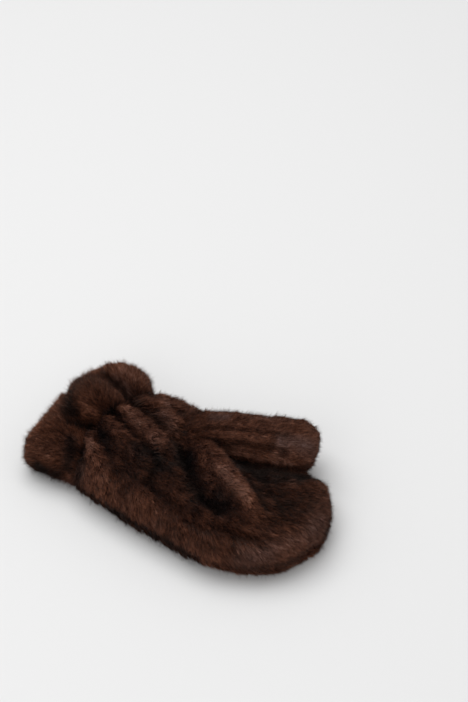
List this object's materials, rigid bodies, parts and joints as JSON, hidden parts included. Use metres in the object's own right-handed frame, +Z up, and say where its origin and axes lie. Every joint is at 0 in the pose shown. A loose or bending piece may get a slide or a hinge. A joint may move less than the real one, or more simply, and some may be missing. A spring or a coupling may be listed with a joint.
{
  "type": "fur mitten",
  "caption": "Soft fur mitten for a left hand, lying palm up: gathered wrist, flared ruffled fur cuff, rounded hand and a separate thumb, all hollow and open at the cuff.",
  "frame": {"origin": "on the surface that the mitten lies on, under the middle of its bounding box", "axes": "+X from the cuff to the fingertips, +Y to the thumb's side, +Z up out of the palm"},
  "size_m": [0.2796, 0.1742, 0.0609],
  "materials": {
    "palm_fur": "long dark brown fur with lighter red-brown tips",
    "back_fur": "long dark brown fur with lighter red-brown tips",
    "thumb_fur": "long dark brown fur with lighter red-brown tips",
    "cuff_fur": "long dark brown fur, standing, turned in over the hem",
    "elastic": "matt ribbed elastic",
    "pelt": "matt suede side of the skins, dark underfur on its other side"
  },
  "bodies": {
    "root": {"palm": "palm_fur", "back": "back_fur", "thumb": "thumb_fur", "cuff": "cuff_fur", "wrist_elastic": "elastic"}
  },
  "joints": []
}
